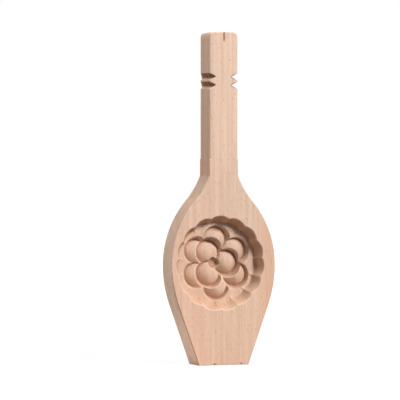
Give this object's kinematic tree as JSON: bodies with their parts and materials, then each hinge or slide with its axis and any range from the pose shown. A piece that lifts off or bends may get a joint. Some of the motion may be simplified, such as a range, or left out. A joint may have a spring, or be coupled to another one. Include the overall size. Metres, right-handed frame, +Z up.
{
  "type": "maamoul mould",
  "caption": "Flat wooden paddle mould with a fluted round cavity of overlapping domed petals and a notched straight handle.",
  "frame": {"origin": "middle of the flat lower end, at half the thickness", "axes": "+Z up the handle, +X to the right seen from the carved side, -Y out of the carved face"},
  "size_m": [0.0796, 0.02, 0.24],
  "materials": {
    "beech": "bare sanded beech, fine grain running along the handle, unfinished"
  },
  "bodies": {
    "root": {"mould_board": "beech"}
  },
  "joints": []
}
